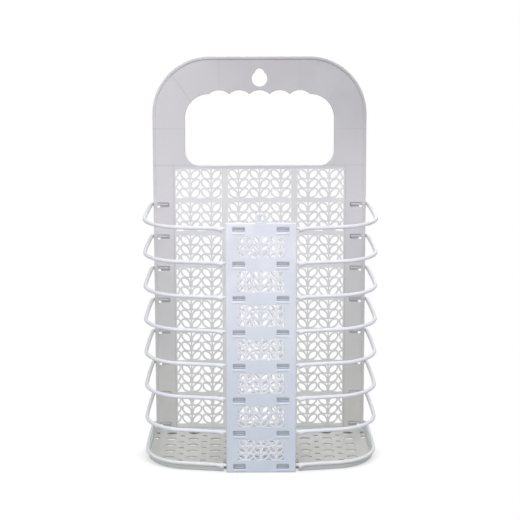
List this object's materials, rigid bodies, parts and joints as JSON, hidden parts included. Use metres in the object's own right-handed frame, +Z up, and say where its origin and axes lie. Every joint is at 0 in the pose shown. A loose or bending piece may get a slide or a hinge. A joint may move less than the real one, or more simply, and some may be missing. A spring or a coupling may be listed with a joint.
{
  "type": "folding laundry hamper",
  "caption": "Wall-hung folding laundry hamper: a tall perforated back panel with a handle opening, parallel round-rod hoops, a slotted bottom tray and a narrow front strip that folds them flat.",
  "frame": {"origin": "centre of the opened hamper's footprint, at the level of its lowest faces", "axes": "+Z up the back panel, the hamper's longest way; +Y to the rear, out of the face that rests on the wall; +X to the right of the rear of the panel, as seen from the front"},
  "size_m": [0.3476, 0.191, 0.6018],
  "materials": {
    "panel": "satin moulded polypropylene",
    "hoop": "satin moulded polypropylene",
    "tray": "satin moulded polypropylene",
    "strip": "satin moulded polypropylene"
  },
  "bodies": {
    "panel": {"back_panel": "panel"},
    "tray": {"bottom_tray": "tray"},
    "hoop_1": {"hoop_1": "hoop"},
    "hoop_2": {"hoop_2": "hoop"},
    "hoop_3": {"hoop_3": "hoop"},
    "hoop_4": {"hoop_4": "hoop"},
    "hoop_5": {"hoop_5": "hoop"},
    "hoop_6": {"hoop_6": "hoop"},
    "hoop_7": {"hoop_7": "hoop"},
    "strip": {"front_strip": "strip"}
  },
  "joints": [
    {"name": "tray_hinge", "type": "hinge", "parent": "panel", "child": "tray", "pos_m": [0, 0.08951, 0.0252], "axis": [-1, 0, 0], "range_deg": [0, 87.1]},
    {"name": "hoop_1_hinge", "type": "hinge", "parent": "panel", "child": "hoop_1", "pos_m": [0, 0.08951, 0.3752], "axis": [-1, 0, 0], "range_deg": [0, 87.1]},
    {"name": "hoop_2_hinge", "type": "hinge", "parent": "panel", "child": "hoop_2", "pos_m": [0, 0.08951, 0.3252], "axis": [-1, 0, 0], "range_deg": [0, 87.1]},
    {"name": "hoop_3_hinge", "type": "hinge", "parent": "panel", "child": "hoop_3", "pos_m": [0, 0.08951, 0.2752], "axis": [-1, 0, 0], "range_deg": [0, 87.1]},
    {"name": "hoop_4_hinge", "type": "hinge", "parent": "panel", "child": "hoop_4", "pos_m": [0, 0.08951, 0.2252], "axis": [-1, 0, 0], "range_deg": [0, 87.1]},
    {"name": "hoop_5_hinge", "type": "hinge", "parent": "panel", "child": "hoop_5", "pos_m": [0, 0.08951, 0.1752], "axis": [-1, 0, 0], "range_deg": [0, 87.1]},
    {"name": "hoop_6_hinge", "type": "hinge", "parent": "panel", "child": "hoop_6", "pos_m": [0, 0.08951, 0.1252], "axis": [-1, 0, 0], "range_deg": [0, 87.1]},
    {"name": "hoop_7_hinge", "type": "hinge", "parent": "panel", "child": "hoop_7", "pos_m": [0, 0.08951, 0.0752], "axis": [-1, 0, 0], "range_deg": [0, 87.1]},
    {"name": "strip_hinge", "type": "hinge", "parent": "tray", "child": "strip", "pos_m": [0, -0.09071, 0.0107], "axis": [1, 0, 0], "range_deg": [0, 87.1]}
  ],
  "couplings": [
    {"joint": "hoop_1_hinge", "follows": "tray_hinge", "ratio": 1},
    {"joint": "hoop_2_hinge", "follows": "tray_hinge", "ratio": 1},
    {"joint": "hoop_3_hinge", "follows": "tray_hinge", "ratio": 1},
    {"joint": "hoop_4_hinge", "follows": "tray_hinge", "ratio": 1},
    {"joint": "hoop_5_hinge", "follows": "tray_hinge", "ratio": 1},
    {"joint": "hoop_6_hinge", "follows": "tray_hinge", "ratio": 1},
    {"joint": "hoop_7_hinge", "follows": "tray_hinge", "ratio": 1},
    {"joint": "strip_hinge", "follows": "tray_hinge", "ratio": 1}
  ]
}
